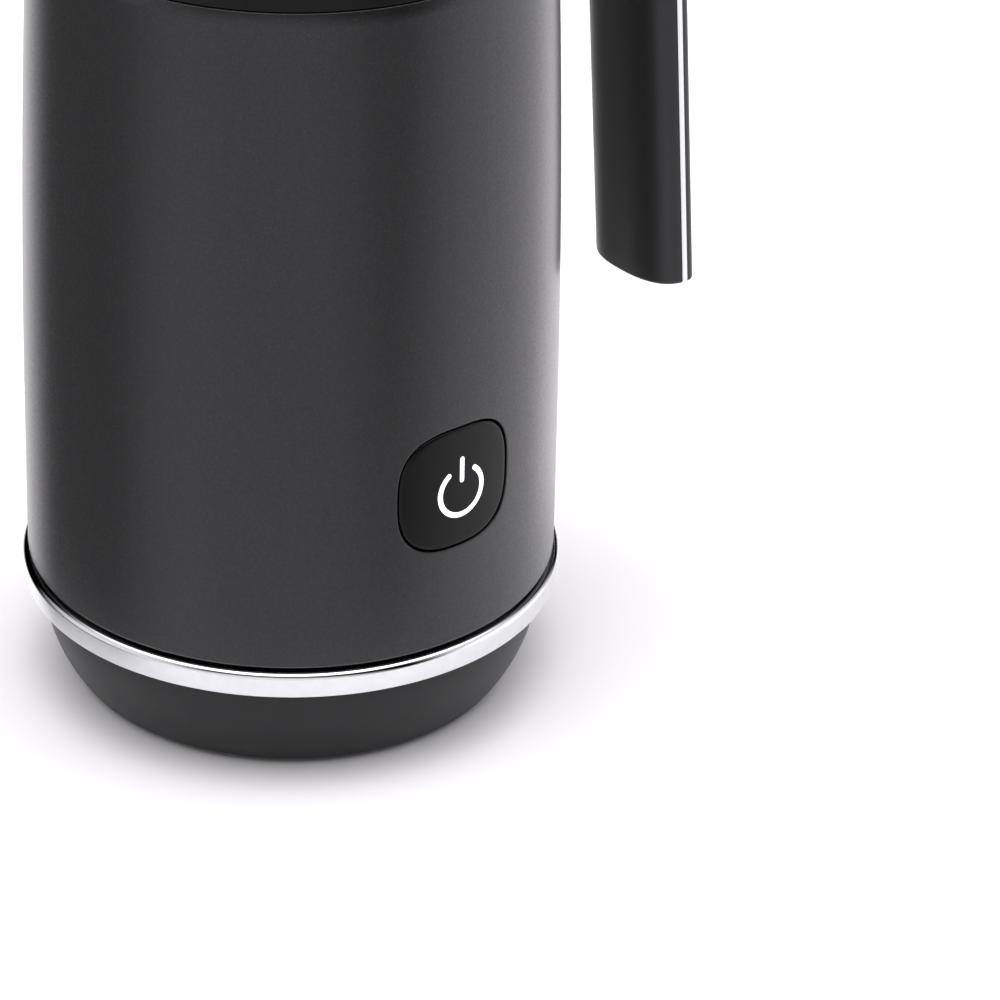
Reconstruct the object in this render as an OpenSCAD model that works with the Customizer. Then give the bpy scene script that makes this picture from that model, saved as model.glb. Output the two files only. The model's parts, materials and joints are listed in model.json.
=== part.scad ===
// Electric milk frother: a jug with a magnetic whisk, standing on a cordless round power base.
// The origin is on the whisk's axis at the level of the table, +Z up.
// The power button faces -Y, the handle +X, the pouring spout -X and the cord outlet +Y.

/* [Body] */
// Radius of the painted shell over its straight lower part
body_r = 50.35; // [50.2:0.05:50.5]
// Height of the shell's lower edge above the table
shell_z0 = 25.7; // [25.6:0.05:25.9]
// Height of the shell's upper edge
shell_z1 = 157; // [156.5:0.1:157.2]
// Height above which the shell draws in towards the rim
swell_z = 55; // [50:1:60]
// Radius of the long arc that draws the shell in
swell_arc_r = 2220; // [2200:1:2400]
// Thickness of the shell
shell_wall = 0.8; // [0.7:0.05:0.8]
// Height of the rim that the lid rests on
rim_z = 171; // [170.9:0.1:171]

/* [Power base] */
// Height of the bowl's upper edge, where the bright ring begins
bowl_z1 = 20.2; // [20.1:0.05:20.3]
// Outer radius of the bowl's side where it is widest, just below its flange
bowl_top_r = 47.9; // [47.8:0.05:48]
// Radius of the arc that rounds the bowl's side
bowl_arc_r = 31; // [30.5:0.1:31.5]
// Thickness of the bowl's side
bowl_wall = 2.2; // [2:0.1:2.3]
// Radius of the bright ring at its lower edge
ring_low_r = 51.1; // [51:0.05:51.15]
// Radius of the bright ring below its lip
ring_high_r = 51.5; // [51.4:0.05:51.6]
// Height of the bright ring's upper face
ring_z1 = 25.2; // [25.1:0.05:25.2]
// Radius of the cord's bore
cord_r = 3.3; // [3.2:0.1:3.4]

/* [Button] */
// Width of the button
button_w = 24.9; // [24.7:0.1:25.1]
// Height of the button
button_h = 24.3; // [24.1:0.1:24.5]
// How square the button is: 2 is an ellipse, and higher is squarer
button_power = 2.85; // [2.7:0.05:3]
// Sideways place of the button's centre, along X
button_x = -1; // [-1.1:0.1:-0.9]
// Height of the button's centre above the table
button_z = 58.7; // [58:0.1:59]
// Gap all round the button
button_gap = 0.35; // [0.3:0.05:0.4]

/* [Handle] */
// Distance of the handle's centre line from the jug's axis at its lower end
grip_x = 90.4; // [90:0.1:91]
// Height of the handle's lower end
grip_z0 = 56.2; // [56:0.1:57]
// Lean of the handle towards the jug, in degrees
grip_lean = 4.1; // [4:0.02:4.2]
// Height at which the handle begins to bend over
grip_bend_z = 148; // [147.5:0.1:148]
// Radius of the bend, to the centre line
grip_bend_r = 16; // [15.5:0.1:16]
// Half of the handle's width
grip_half_w = 11.9; // [11.5:0.05:12.2]
// Depth of the outer cap from the centre line
grip_out = 3.35; // [3.1:0.05:3.5]
// Depth of the inner grip from the centre line
grip_in = 7.7; // [7.5:0.05:7.9]

/* [Vessel and whisk] */
// Inner radius of the milk vessel
vessel_r = 37.5; // [37.3:0.1:37.5]
// Height of the vessel's floor, its upper face
vessel_z0 = 77; // [77:0.1:77.2]
// Thickness of the vessel's wall
vessel_wall = 0.8; // [0.7:0.05:0.8]
// Radius of the whisk's coil, to the middle of the wire's coil
coil_r = 15.5; // [15:0.1:16]
// Radius of the wire's coil itself
coil_minor_r = 1.7; // [1.5:0.1:1.8]

/* [Hidden] */
$fn = 96;
eps = 0.01;

// Colours
paint = [0.33, 0.33, 0.34];
black = [0.12, 0.12, 0.13];
bright = [0.86, 0.87, 0.89];
steel = [0.7, 0.71, 0.73];
brass = [0.8, 0.66, 0.35];
rubber = [0.08, 0.08, 0.08];
lit = [0.95, 0.97, 1];
smoke = [0.25, 0.26, 0.28, 0.5];
green = [0.1, 0.35, 0.2];
magnet = [0.55, 0.56, 0.58];

// Power base
plate_z0 = 1.2;
plate_z1 = 3.2;
plate_r = 38.3;
foot_in_r = 31;
foot_out_r = 35;
foot_h = 2.2;
deck_z = 18.5;
deck_r = 45.2;
ring_in_r = 48.2;
connector_r = 19.2;
spigot_r = 5.5;
spigot_z1 = 29;
cord_z = 9.5;
cord_y0 = 38;
cord_y1 = 49.5;
outlet_y = 47.9;
outlet_back = 40.5;
outlet_r = 6.9;
neck_half = 4.6;
post_r = 24;
flange_h = 0.5;
flange_r = 49.4;
bowl_arc_x = bowl_top_r - bowl_arc_r;
bowl_arc_z = bowl_z1 - flange_h;

// Jug
cover_z0 = 18.7;
boss_r = 30;
boss_a = 90;
boss_z = 32;
plate_low = 58;
plate_high = 60;
heater_z0 = 73.7;
vessel_low = vessel_z0 - vessel_wall;
vessel_rim = 165;
collar_r = 48;
bore_r = 38;
shaft_r = 1.5;
carrier_z1 = 74;
board_y = -39;

// Lid
lid_z0 = 171.3;
plug_in_r = 35.4;
plug_r = 36.9;
window_r = 24;
knob_r = 10;
lid_top = 190;

// ---- shared shapes ----

// Points along an arc in the plane, from angle a0 to a1 in n steps
function arc(x, y, r, a0, a1, n) =
  [for (i = [0:n]) [x + r * cos(a0 + (a1 - a0) * i / n), y + r * sin(a0 + (a1 - a0) * i / n)]];

// Outer radius of the painted shell at height z
function body_radius(z) =
  z < swell_z ? body_r : body_r - pow(z - swell_z, 2) / (2 * swell_arc_r);

// Radius of the bowl's side at height z, set in by a wall
function bowl_radius(z, wall) =
  bowl_arc_x + sqrt(pow(bowl_arc_r - wall, 2) - pow(bowl_arc_z - z, 2));

// A solid of revolution about Z from points of radius and height
module lathe(points) {
  rotate_extrude($fn = 180) polygon(points);
}

// A tube about Z
module tube(r_out, r_in, z0, z1) {
  rotate_extrude($fn = 180) translate([r_in, z0]) square([r_out - r_in, z1 - z0]);
}

// Copies spread evenly round Z at a radius
module spread(count, radius, first) {
  for (i = [0:count - 1]) rotate([0, 0, first + i * 360 / count]) translate([radius, 0, 0]) children();
}

// A cylinder along -Y that starts at y
module rod_front(x, y, z, r, length) {
  translate([x, y, z]) rotate([90, 0, 0]) cylinder(h = length, r = r);
}

// A flat shape, drawn as the front view shows it, pushed along -Y from y0
module front(y0, length) {
  translate([button_x, y0, button_z]) rotate([90, 0, 0]) linear_extrude(length) children();
}

// A rounded square whose sides bow gently, set in or out by grow
module soft_square(grow) {
  a = button_w / 2 + grow;
  b = button_h / 2 + grow;
  e = 2 / button_power;
  polygon([for (i = [0:71]) let (c = cos(i * 5), s = sin(i * 5))
    [a * sign(c) * pow(abs(c), e), b * sign(s) * pow(abs(s), e)]]);
}

// A pan-head screw that points up, with its head at the bottom and a cross slot in it
module screw(head_r, head_h, shank_r, length) {
  difference() {
    cylinder(h = head_h, r = head_r);
    for (a = [0, 90]) rotate([0, 0, a])
      translate([-head_r * 0.6, -head_r * 0.13, -eps]) cube([head_r * 1.2, head_r * 0.26, head_h * 0.55]);
  }
  translate([0, 0, head_h]) cylinder(h = length - head_h, r = shank_r);
}

// ---- power base ----

// The cord bushing's neck: a square with cut corners, so that the bushing can't turn in its hole
module neck(grow) {
  h = neck_half + grow;
  c = h - 1.5;
  polygon([[h, c], [c, h], [-c, h], [-h, c], [-h, -c], [-c, -h], [c, -h], [h, -c]]);
}

// A shape drawn from the rear, pushed along -Y from y, on the cord's axis
module rear(y, length) {
  translate([0, y, cord_z]) rotate([90, 0, 0]) linear_extrude(length) children();
}

module base_bowl() {
  low_a = -asin((bowl_arc_z - 1.6) / bowl_arc_r);
  in_r = bowl_arc_r - bowl_wall;
  in_a = -asin((bowl_arc_z - 3.6) / in_r);
  color(black) difference() {
    union() {
      lathe(concat(
        [[plate_r + 0.1, 1]],
        arc(bowl_radius(1.6, 0) - 0.9, 1.9, 0.9, -90, -40, 4),
        arc(bowl_arc_x, bowl_arc_z, bowl_arc_r, low_a, 0, 14),
        [[flange_r, bowl_arc_z], [flange_r, bowl_z1], [bowl_arc_x + in_r, bowl_z1]],
        arc(bowl_arc_x, bowl_arc_z, in_r, 0, in_a, 12),
        [[plate_r + 0.1, 3.6]]));
      rear(outlet_y + 1, outlet_y + 1 - outlet_back) circle(outlet_r);
    }
    rear(60, 30) neck(0.1);
    rear(60, 60 - outlet_y) circle(outlet_r + 0.2);
  }
}

module chrome_ring() {
  lip_r = 1.05;
  color(bright) lathe(concat(
    [[ring_in_r, bowl_z1], [ring_low_r - 0.3, bowl_z1], [ring_low_r, bowl_z1 + 0.3]],
    arc(ring_high_r - lip_r, ring_z1 - lip_r, lip_r, 0, 90, 6),
    [[ring_in_r + 0.4, ring_z1], [ring_in_r, ring_z1 - 0.4]]));
}

module base_deck() {
  color(black) {
    lathe([[connector_r + 0.1, 16.5], [deck_r, 16.5], [deck_r, bowl_z1], [ring_in_r - 0.05, bowl_z1],
      [ring_in_r - 0.05, 21.4], [deck_r - 1.3, 21.4], [deck_r - 1.3, deck_z], [connector_r + 0.1, deck_z]]);
    spread(3, post_r, 30) difference() {
      translate([0, 0, plate_z1]) cylinder(h = 17.5 - plate_z1, r = 3.2);
      translate([0, 0, plate_z1 - eps]) cylinder(h = 8, r = 1.25);
    }
  }
}

module base_bottom_plate() {
  color(black) difference() {
    lathe([[0, plate_z0], [foot_in_r - 0.1, plate_z0], [foot_in_r - 0.1, foot_h], [foot_out_r + 0.1, foot_h],
      [foot_out_r + 0.1, plate_z0], [plate_r - 0.3, plate_z0], [plate_r, plate_z0 + 0.3],
      [plate_r, plate_z1], [0, plate_z1]]);
    spread(3, post_r, 30) {
      translate([0, 0, plate_z0 - eps]) cylinder(h = 1.2 + eps, r = 3);
      cylinder(h = 5, r = 1.6);
    }
  }
}

module foot_ring() {
  color(rubber) lathe([[foot_in_r + 0.5, 0], [foot_out_r - 0.5, 0], [foot_out_r, 0.5],
    [foot_out_r, foot_h], [foot_in_r, foot_h], [foot_in_r, 0.5]]);
}

module base_connector() {
  groove_in = 9;
  groove_out = 12.6;
  color(black) lathe([[0, 12], [connector_r, 12], [connector_r, deck_z], [groove_out, deck_z],
    [groove_out, 13.4], [groove_in, 13.4], [groove_in, deck_z], [spigot_r, deck_z],
    [spigot_r, spigot_z1 - 0.8], [spigot_r - 0.8, spigot_z1], [2.4, spigot_z1], [2.4, 20], [0, 20]]);
}

module base_contacts() {
  color(brass) {
    tube(12.55, 11.9, 13.4, 17.8);
    tube(9.65, 9.05, 13.4, 17.8);
    tube(2.35, 1.7, 20, 28.4);
  }
}

module cord_gland() {
  color(black) difference() {
    union() {
      rear(outlet_y + 0.5, outlet_y + 0.5 - cord_y0) neck(0);
      rear(cord_y1, cord_y1 - outlet_y) circle(6.5);
      rear(outlet_back, 1.8) circle(5.6);
    }
    rear(60, 60) circle(cord_r);
  }
}

module cord_saddle() {
  color(black) difference() {
    translate([-10, 31, plate_z1]) cube([20, 5.6, cord_z - plate_z1]);
    translate([0, 38, cord_z]) rotate([90, 0, 0]) cylinder(h = 10, r = cord_r);
    for (s = [-1, 1]) translate([s * 7, 33.8, plate_z1 + 1]) cylinder(h = 10, r = 1.2);
  }
}

module cord_clamp() {
  color(black) difference() {
    translate([-10, 31.4, cord_z + 0.1]) cube([20, 4.8, 4.4]);
    translate([0, 38, cord_z]) rotate([90, 0, 0]) cylinder(h = 10, r = cord_r);
    for (s = [-1, 1]) translate([s * 7, 33.8, cord_z - 1]) cylinder(h = 10, r = 1.35);
  }
}

module clamp_screws() {
  color(steel) for (s = [-1, 1])
    translate([s * 7, 33.8, cord_z + 5.7]) rotate([180, 0, 0]) screw(2.3, 1.2, 1.15, 9);
}

module base_screws() {
  color(steel) spread(3, post_r, 30) translate([0, 0, plate_z0 + 0.1]) screw(2.7, 1.1, 1.2, 8.4);
}

module swivel_collar() {
  color([0.85, 0.85, 0.83]) lathe([[spigot_r + 0.05, deck_z + 0.1], [8.6, deck_z + 0.1],
    [8.6, deck_z + 0.25], [7.4, deck_z + 0.25], [7.4, 21.4], [7, 21.8], [spigot_r + 0.05, 21.8]]);
}

// ---- jug: shell, rim and vessel ----

module outer_shell() {
  lip_r = 1.2;
  lip_x = body_r - lip_r;
  lip_z = shell_z0 + lip_r * sin(60);
  rise = [for (i = [0:6]) swell_z + (shell_z1 - swell_z) * i / 6];
  color(paint) difference() {
    lathe(concat(
      arc(lip_x, lip_z, lip_r, -60, 0, 6),
      [for (z = rise) [body_radius(z), z]],
      [for (i = [6:-1:0]) [body_radius(rise[i]) - shell_wall, rise[i]]],
      arc(lip_x, lip_z, lip_r - shell_wall, 0, -60, 6)));
    front(-40, 20) soft_square(button_gap);
  }
}

// The pouring nose is an upright cone that leans out of the rim, and its channel is a steeper one
module top_collar() {
  spout_x = -40;
  spout_z0 = shell_z1 + 1.2;
  neck_r = body_radius(shell_z1) - shell_wall - 0.1;
  color(black) difference() {
    union() {
      lathe(concat(
        [[bore_r, 166], [43.6, 166], [43.6, 160], [neck_r - 1.6, 160], [neck_r - 1.6, 150],
          [neck_r - 0.4, 150], [neck_r, 151], [neck_r, shell_z1 + 0.2], [collar_r, shell_z1 + 0.2]],
        arc(collar_r - 1.6, rim_z - 1.6, 1.6, 0, 90, 6),
        arc(bore_r + 1.2, rim_z - 1.2, 1.2, 90, 180, 4)));
      difference() {
        translate([spout_x, 0, spout_z0]) cylinder(h = rim_z - spout_z0, r1 = 7, r2 = 14);
        cylinder(h = 400, r = 46, center = true);
      }
      translate([46, -7, 160.3]) cube([20, 14, 5]);
    }
    translate([spout_x, 0, 166.3]) cylinder(h = rim_z - 166.3 + eps, r1 = 5.4, r2 = 12.3);
    for (s = [-1, 1]) translate([56, s * 4, 158]) cylinder(h = 10, r = 1.3);
  }
}

module inner_vessel() {
  round_r = 7;
  color(steel) lathe(concat(
    [[0, vessel_low]],
    arc(vessel_r - round_r, vessel_z0 + round_r, round_r + vessel_wall, -90, 0, 8),
    [[vessel_r + vessel_wall, vessel_rim - 0.8], [43.3, vessel_rim - 0.8], [43.3, vessel_rim],
      [vessel_r + 0.5, vessel_rim]],
    [[vessel_r, vessel_rim - 0.5]],
    arc(vessel_r - round_r, vessel_z0 + round_r, round_r, 0, -90, 8),
    [[0, vessel_z0]]));
}

module vessel_seal() {
  color([0.6, 0.6, 0.6]) tube(43.2, bore_r + 0.6, vessel_rim, 166);
}

module vessel_retainer() {
  color(black) lathe([[vessel_r + 1.2, 162.4], [43.5, 162.4], [43.5, 164.2], [vessel_r + 1.2, 164.2]]);
}

module whisk_pivot() {
  color(steel) lathe(concat([[0, vessel_z0], [7, vessel_z0], [6.6, vessel_z0 + 0.8], [3, vessel_z0 + 1]],
    arc(0, 81.4, 3, 0, 90, 6)));
}

// ---- jug: heating, drive and electronics ----

module heater_ring() {
  color([0.3, 0.2, 0.18]) difference() {
    tube(32, 21, heater_z0, vessel_low);
    spread(2, 26.5, 290) translate([0, 0, heater_z0 - 1]) cylinder(h = 1.6, r = 2);
  }
}

module thermostat() {
  color(steel) rotate([0, 0, 200]) translate([26.5, 0, 0]) {
    translate([0, 0, 68.4]) cylinder(h = heater_z0 - 68.4, r = 4.6);
    translate([0, 0, 72.6]) cylinder(h = heater_z0 - 72.6, r = 5.4);
  }
}

module thermal_fuse() {
  color(brass) rotate([0, 0, 20]) translate([26.5, 6, heater_z0 - 1.9]) rotate([90, 0, 0]) {
    cylinder(h = 12, r = 1.9);
    translate([0, 0, -3]) cylinder(h = 18, r = 0.5);
  }
}

module motor_bracket() {
  color([0.75, 0.75, 0.72]) difference() {
    union() {
      tube(36, 4.3, plate_low, plate_high);
      tube(36, 34.4, plate_high, vessel_low);
      spread(3, boss_r, boss_a) translate([0, 0, boss_z]) cylinder(h = plate_low + 1 - boss_z, r = 3.6);
    }
    spread(3, boss_r, boss_a) translate([0, 0, boss_z - eps]) cylinder(h = 12, r = 1.3);
    spread(2, 8.5, 0) cylinder(h = 70, r = 1.3);
    spread(6, 35, 30) translate([-5, -9, plate_high + 3]) cube([10, 18, 9]);
  }
}

module motor_can() {
  color(magnet) difference() {
    union() {
      lathe(concat([[shaft_r + 0.05, 36]], arc(11, 37.5, 1.5, -90, 0, 4),
        [[12.5, plate_low], [shaft_r + 0.05, plate_low]]));
      tube(4.2, shaft_r + 0.05, plate_low, plate_high + 0.6);
    }
    spread(2, 8.5, 0) translate([0, 0, 52]) cylinder(h = 10, r = 1.2);
  }
}

module motor_screws() {
  color(steel) spread(2, 8.5, 0) translate([0, 0, plate_high + 1.2]) rotate([180, 0, 0]) screw(2.4, 1.2, 1.15, 8);
}

module control_board() {
  color(green) translate([-15, board_y, 43]) cube([30, 1.6, 30]);
}

module board_parts() {
  back = board_y + 1.6;
  color([0.15, 0.2, 0.35]) {
    translate([-12.5, back, 45]) cube([12, 8.5, 11]);
    translate([7, back + 10, 50]) rotate([90, 0, 0]) cylinder(h = 10, r = 4);
  }
}

module tact_switch() {
  color(steel) {
    translate([-3, board_y - 2.8, button_z - 3]) cube([6, 2.8, 6]);
    rod_front(0, board_y - 2.8, button_z, 1.7, 0.5);
  }
}

module indicator_led() {
  color(lit) {
    rod_front(0, board_y, button_z + 6.4, 1.8, 0.8);
    rod_front(0, board_y - 0.8, button_z + 6.4, 1.4, 2);
  }
}

module button_bezel() {
  color(black) {
    intersection() {
      front(-43.5, 10) difference() {
        soft_square(3.4);
        soft_square(button_gap);
      }
      cylinder(h = 200, r = body_radius(button_z + 20) - shell_wall - 0.05);
    }
    for (sx = [-1, 1], sz = [-1, 1])
      rod_front(button_x + sx * 12, board_y, button_z + sz * 11.5, 1.5, 4.5);
  }
}

module bottom_cover() {
  color(black) difference() {
    union() {
      lathe([[connector_r + 0.1, cover_z0], [43, cover_z0], [43.4, cover_z0 + 0.4], [43.4, 21.8], [47.3, 21.8],
        [47.6, 22.1], [47.6, 25.6], [48.8, 26.6], [49.4, 27.9], [49.4, 31], [48, 31], [46.1, 26],
        [46.1, 23.3], [41.9, 23.3], [41.9, cover_z0 + 2], [connector_r + 0.1, cover_z0 + 2]]);
      spread(3, boss_r, boss_a) translate([0, 0, cover_z0 + 1]) cylinder(h = boss_z - cover_z0 - 1, r = 3.6);
    }
    spread(3, boss_r, boss_a) {
      translate([0, 0, cover_z0 - eps]) cylinder(h = 2.6, r = 2.9);
      cylinder(h = 50, r = 1.6);
    }
  }
}

module jug_socket() {
  color(black) lathe([[7.8, 18.9], [10.15, 18.9], [10.15, 21.2], [11.25, 21.2], [11.25, 18.9],
    [connector_r - 0.2, 18.9], [connector_r - 0.2, cover_z0 + 2], [23.5, cover_z0 + 2], [23.5, 22.2],
    [9.6, 22.2], [9.6, 31.6], [0, 31.6], [0, 30.2], [7.8, 30.2]]);
}

module socket_contacts() {
  color(brass) {
    tube(11.2, 10.2, 14.4, 21.2);
    translate([0, 0, 21.6]) cylinder(h = 8.6, r = 1.3);
  }
}

module jug_screws() {
  color(steel) spread(3, boss_r, boss_a) translate([0, 0, 19.4]) screw(2.6, 1.8, 1.25, 22);
}

// ---- handle ----

// Half of a superellipse: depth d at a share of the width
function grip_points(depth_in, depth_out, half_w) =
  [for (i = [0:47]) let (a = i * 7.5, c = cos(a), s = sin(a), d = c < 0 ? depth_in : depth_out)
    [sign(c) * d * pow(abs(c), 0.8), sign(s) * half_w * pow(abs(s), 0.8)]];

// The handle's section between two depths, measured outwards from its centre line
module grip_section(from, to, grow) {
  intersection() {
    polygon(grip_points(grip_in + grow, grip_out + grow, grip_half_w + grow));
    translate([from, -20]) square([to - from, 40]);
  }
}

// The handle's way: up the leaning grip, round the bend and along the arm to the jug.
// The grip and the arm are a hair slimmer than the bend and reach a little way into it.
module grip_sweep(from, to, grow) {
  slim = 0.05;
  reach = 1;
  top_x = grip_x - tan(grip_lean) * (grip_bend_z - grip_z0);
  centre_x = top_x - grip_bend_r * cos(grip_lean);
  centre_z = grip_bend_z - grip_bend_r * sin(grip_lean);
  difference() {
    union() {
      difference() {
        translate([top_x, 0, grip_bend_z]) rotate([0, -grip_lean, 0]) translate([0, 0, -100])
          linear_extrude(100 + reach) grip_section(from + slim, to - slim, grow - slim);
        translate([0, -50, grip_z0 - 100]) cube([200, 100, 100]);
      }
      translate([centre_x, 0, centre_z]) rotate([90, 0, 0])
        rotate([0, 0, grip_lean]) rotate_extrude(angle = 90 - grip_lean, $fn = 120)
          translate([grip_bend_r, 0]) grip_section(from, to, grow);
      translate([centre_x + reach, 0, centre_z + grip_bend_r]) rotate([0, -90, 0])
        linear_extrude(centre_x + reach - 40) grip_section(from + slim, to - slim, grow - slim);
    }
    cylinder(h = 400, r = collar_r + 0.15);
    translate([40, -7, 160.3]) cube([26, 14, 5]);
  }
}

strip_from = -1.65;
strip_to = -0.5;

module handle_inner() {
  color(black) difference() {
    grip_sweep(-20, strip_from, 0);
    for (s = [-1, 1]) translate([56, s * 4, 150]) {
      cylinder(h = 12, r = 1.4);
      cylinder(h = 8, r = 2.7);
    }
  }
}

module handle_strip() {
  color(bright) grip_sweep(strip_from, strip_to, 0.15);
}

module handle_outer() {
  color(black) grip_sweep(strip_to, 20, 0);
}

module handle_screws() {
  color(steel) for (s = [-1, 1]) translate([56, s * 4, 156.2]) screw(2.5, 1.8, 1.25, 9);
}

// ---- button ----

symbol_r = 5.45;
symbol_w = 1.1;
symbol_x = 0.8;
symbol_z = -1;

// A ring open at the top, with an upright bar through the opening
module symbol_shape() {
  open_a = 38;
  translate([symbol_x, symbol_z]) {
    difference() {
      circle(symbol_r);
      circle(symbol_r - symbol_w);
      polygon([[0, 0], [20 * sin(open_a), 20 * cos(open_a)], [-20 * sin(open_a), 20 * cos(open_a)]]);
    }
    translate([-0.5, 1.75]) square([1, 5.35]);
  }
}

module power_button() {
  plate_in = body_r - 1.8;
  color(black) difference() {
    union() {
      intersection() {
        front(-40, 20) soft_square(0);
        tube(body_r, plate_in, 30, 90);
      }
      intersection() {
        front(-45, 10) difference() {
          soft_square(-0.4);
          soft_square(-1.8);
        }
        cylinder(h = 100, r = plate_in);
      }
    }
    difference() {
      front(-40, 20) symbol_shape();
      cylinder(h = 200, r = body_r - 0.9, center = true);
    }
  }
}

module power_symbol() {
  color(lit) intersection() {
    front(-40, 20) symbol_shape();
    tube(body_r + 0.04, body_r - 0.9, 30, 90);
  }
}

module switch_plunger() {
  color([0.85, 0.85, 0.85]) rod_front(0, board_y - 4.6, button_z, 1.6, 4.85);
}

// ---- drive rotor ----

module motor_shaft() {
  color(steel) translate([0, 0, 38.2]) cylinder(h = 32.3, r = shaft_r);
}

module magnet_carrier() {
  color([0.8, 0.8, 0.78]) difference() {
    lathe([[shaft_r, 63], [5, 63], [5, 67], [17, 67], [17, carrier_z1], [0, carrier_z1], [0, 70.5],
      [shaft_r, 70.5]]);
    spread(4, 11, 45) translate([0, 0, carrier_z1 - 3]) cylinder(h = 4, r = 3.2);
  }
}

module drive_magnets() {
  color(magnet) spread(4, 11, 45) translate([0, 0, carrier_z1 - 3]) cylinder(h = 3.3, r = 3.2);
}

// ---- whisk ----

whisk_z0 = 78.6;
hub_z1 = 82.6;

module whisk_hub() {
  color(black) difference() {
    lathe([[3.3, whisk_z0], [14.2, whisk_z0], [14.6, whisk_z0 + 0.4], [14.6, hub_z1 - 0.4],
      [14.2, hub_z1], [6, hub_z1], [5.2, 89.4], [4.6, 90], [0, 90], [0, 85], [3.3, 85]]);
    rotate_extrude($fn = 180) translate([coil_r, 80.6]) circle(coil_minor_r + 0.02);
    spread(2, 9.2, 45) translate([0, 0, whisk_z0 - eps]) cylinder(h = 2.6, r = 2.6);
  }
}

module whisk_magnets() {
  color(magnet) spread(2, 9.2, 45) translate([0, 0, whisk_z0]) cylinder(h = 2.5, r = 2.6);
}

module whisk_stem() {
  color(black) lathe(concat([[0, 90], [3.4, 90], [2.4, 92.5], [2.4, 116.5]],
    arc(0, 119.5, 3.9, -38, 90, 10)));
}

module whisk_coil() {
  color(steel) rotate_extrude($fn = 180) translate([coil_r, 80.6]) circle(coil_minor_r);
}

// ---- lid ----

module lid_cover() {
  color(black) lathe(concat([[plug_in_r, lid_z0], [46.6, lid_z0]],
    arc(45.1, lid_z0 + 1.7, 1.5, 0, 60, 4),
    [[40, 175.9], [32, 178.2], [window_r, 179.4], [window_r, 177.2], [32, 176], [plug_in_r, 175]]));
}

// The ring under the cover that carries the seal and centres the lid in the vessel
module lid_plug() {
  color(black) lathe([[plug_in_r, 163], [plug_r - 0.3, 163], [plug_r, 163.4], [plug_r, lid_z0],
    [plug_in_r, lid_z0]]);
}

module lid_window() {
  color(smoke) lathe([[5.3, 177.4], [window_r - 0.05, 177.4], [window_r - 0.05, 179.3], [5.3, 179.9]]);
}

module lid_seal() {
  color([0.6, 0.6, 0.6]) lathe([[plug_r, 166.4], [37.4, 166.4], [37.7, 166.9], [37.4, 167.4],
    [37.4, 168], [37.7, 168.5], [37.4, 169], [plug_r, 169]]);
}

module lid_knob() {
  color(bright) lathe(concat([[0, 176], [2.6, 176], [2.6, 177.2], [5.2, 177.2], [5.2, 180],
    [6.4, 180], [6.4, 182], [knob_r - 0.6, 184]],
    arc(knob_r - 1.4, 185.6, 1.4, -30, 60, 5), arc(0, lid_top - 24, 24, 69.6, 90, 6)));
}

module knob_nut() {
  color(steel) difference() {
    translate([0, 0, 174.4]) cylinder(h = 2.8, r = 5.6, $fn = 6);
    translate([0, 0, 170]) cylinder(h = 20, r = 2.65);
  }
}

base_bowl();
chrome_ring();
base_deck();
base_bottom_plate();
foot_ring();
base_connector();
base_contacts();
cord_gland();
cord_saddle();
cord_clamp();
clamp_screws();
base_screws();
swivel_collar();
outer_shell();
top_collar();
inner_vessel();
vessel_seal();
vessel_retainer();
whisk_pivot();
heater_ring();
thermostat();
thermal_fuse();
motor_bracket();
motor_can();
motor_screws();
control_board();
board_parts();
tact_switch();
indicator_led();
button_bezel();
bottom_cover();
jug_socket();
socket_contacts();
jug_screws();
handle_inner();
handle_strip();
handle_outer();
handle_screws();
power_button();
power_symbol();
switch_plunger();
motor_shaft();
magnet_carrier();
drive_magnets();
whisk_hub();
whisk_magnets();
whisk_stem();
whisk_coil();
lid_cover();
lid_plug();
lid_window();
lid_seal();
lid_knob();
knob_nut();
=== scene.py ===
"""The look of the milk frother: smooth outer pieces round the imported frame, materials, studio and camera.

Lengths inside the functions are millimetres, in the frame of the CAD model: Z up, the button towards -Y and
the handle towards +X.
"""

import json
import math

import bmesh
import bpy
from mathutils import Matrix, Vector


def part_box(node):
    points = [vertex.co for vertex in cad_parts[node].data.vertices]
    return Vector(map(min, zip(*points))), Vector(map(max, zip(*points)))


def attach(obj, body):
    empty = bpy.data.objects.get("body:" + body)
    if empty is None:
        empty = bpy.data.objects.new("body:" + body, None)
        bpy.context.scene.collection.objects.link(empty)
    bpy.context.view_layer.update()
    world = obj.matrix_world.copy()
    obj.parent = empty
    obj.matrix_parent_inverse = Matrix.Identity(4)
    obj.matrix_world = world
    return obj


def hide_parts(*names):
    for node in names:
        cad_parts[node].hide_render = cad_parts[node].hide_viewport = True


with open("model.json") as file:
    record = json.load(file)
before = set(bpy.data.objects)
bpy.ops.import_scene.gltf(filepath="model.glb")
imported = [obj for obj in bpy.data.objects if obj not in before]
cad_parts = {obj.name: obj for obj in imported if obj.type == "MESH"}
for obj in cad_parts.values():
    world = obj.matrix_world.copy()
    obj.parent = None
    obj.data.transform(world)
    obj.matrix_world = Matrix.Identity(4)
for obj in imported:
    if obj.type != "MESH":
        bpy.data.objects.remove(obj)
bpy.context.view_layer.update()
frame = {"nodes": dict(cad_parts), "record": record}

MM = 0.001
SEGMENTS = 320
BODY_OF = {node: body for body, nodes in frame["record"]["behaviour"]["bodies"].items() for node in nodes}
SLOT_OF = {part["node"]: part["material_slot"] for part in frame["record"]["subparts"]}


def span(node):
    """Lowest and highest corner of a CAD node, in millimetres."""
    low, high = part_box(node)
    return low / MM, high / MM


# ---- driving dimensions, read from the frame ----

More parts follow.
